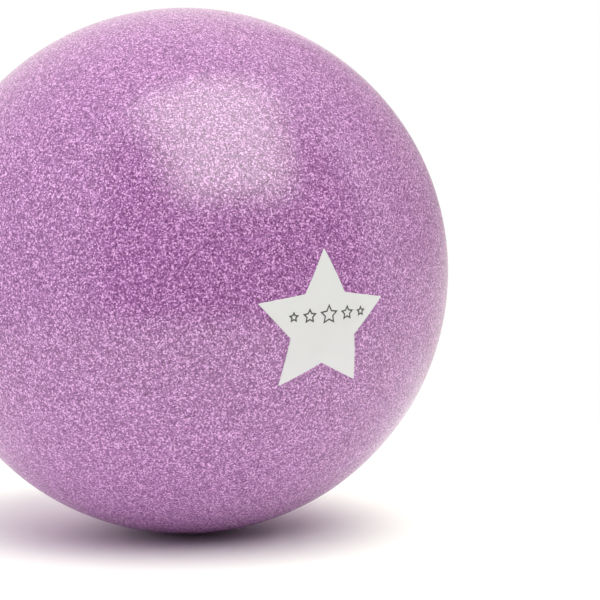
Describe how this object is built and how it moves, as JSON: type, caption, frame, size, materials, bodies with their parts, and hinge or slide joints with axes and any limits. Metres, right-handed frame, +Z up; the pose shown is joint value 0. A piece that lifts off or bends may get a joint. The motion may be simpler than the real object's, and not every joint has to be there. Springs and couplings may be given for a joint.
{
  "type": "glitter ball",
  "caption": "Round inflatable ball with a glitter skin, a flush push-in plug valve and a star-shaped label.",
  "frame": {"origin": "centre of the ball", "axes": "+Z up, +Y out along the valve's axis at the back, -Y towards the front, where the label sits to the +X side"},
  "size_m": [0.15, 0.15, 0.15],
  "materials": {
    "glitter_coat": "clear gloss over fine purple glitter",
    "ball_wall": "pigmented soft vinyl",
    "valve_seat": "satin moulded rubber",
    "valve_plug": "satin moulded plastic",
    "star_label": "satin vinyl film with a small grey printed mark"
  },
  "bodies": {
    "ball": {"glitter_coat": "glitter_coat", "ball_wall": "ball_wall", "valve_seat": "valve_seat", "star_label": "star_label"},
    "plug": {"valve_plug": "valve_plug"}
  },
  "joints": [
    {"name": "plug_pull", "type": "slide", "parent": "ball", "child": "plug", "axis": [0, 1, 0], "range_m": [0, 0.016]}
  ]
}
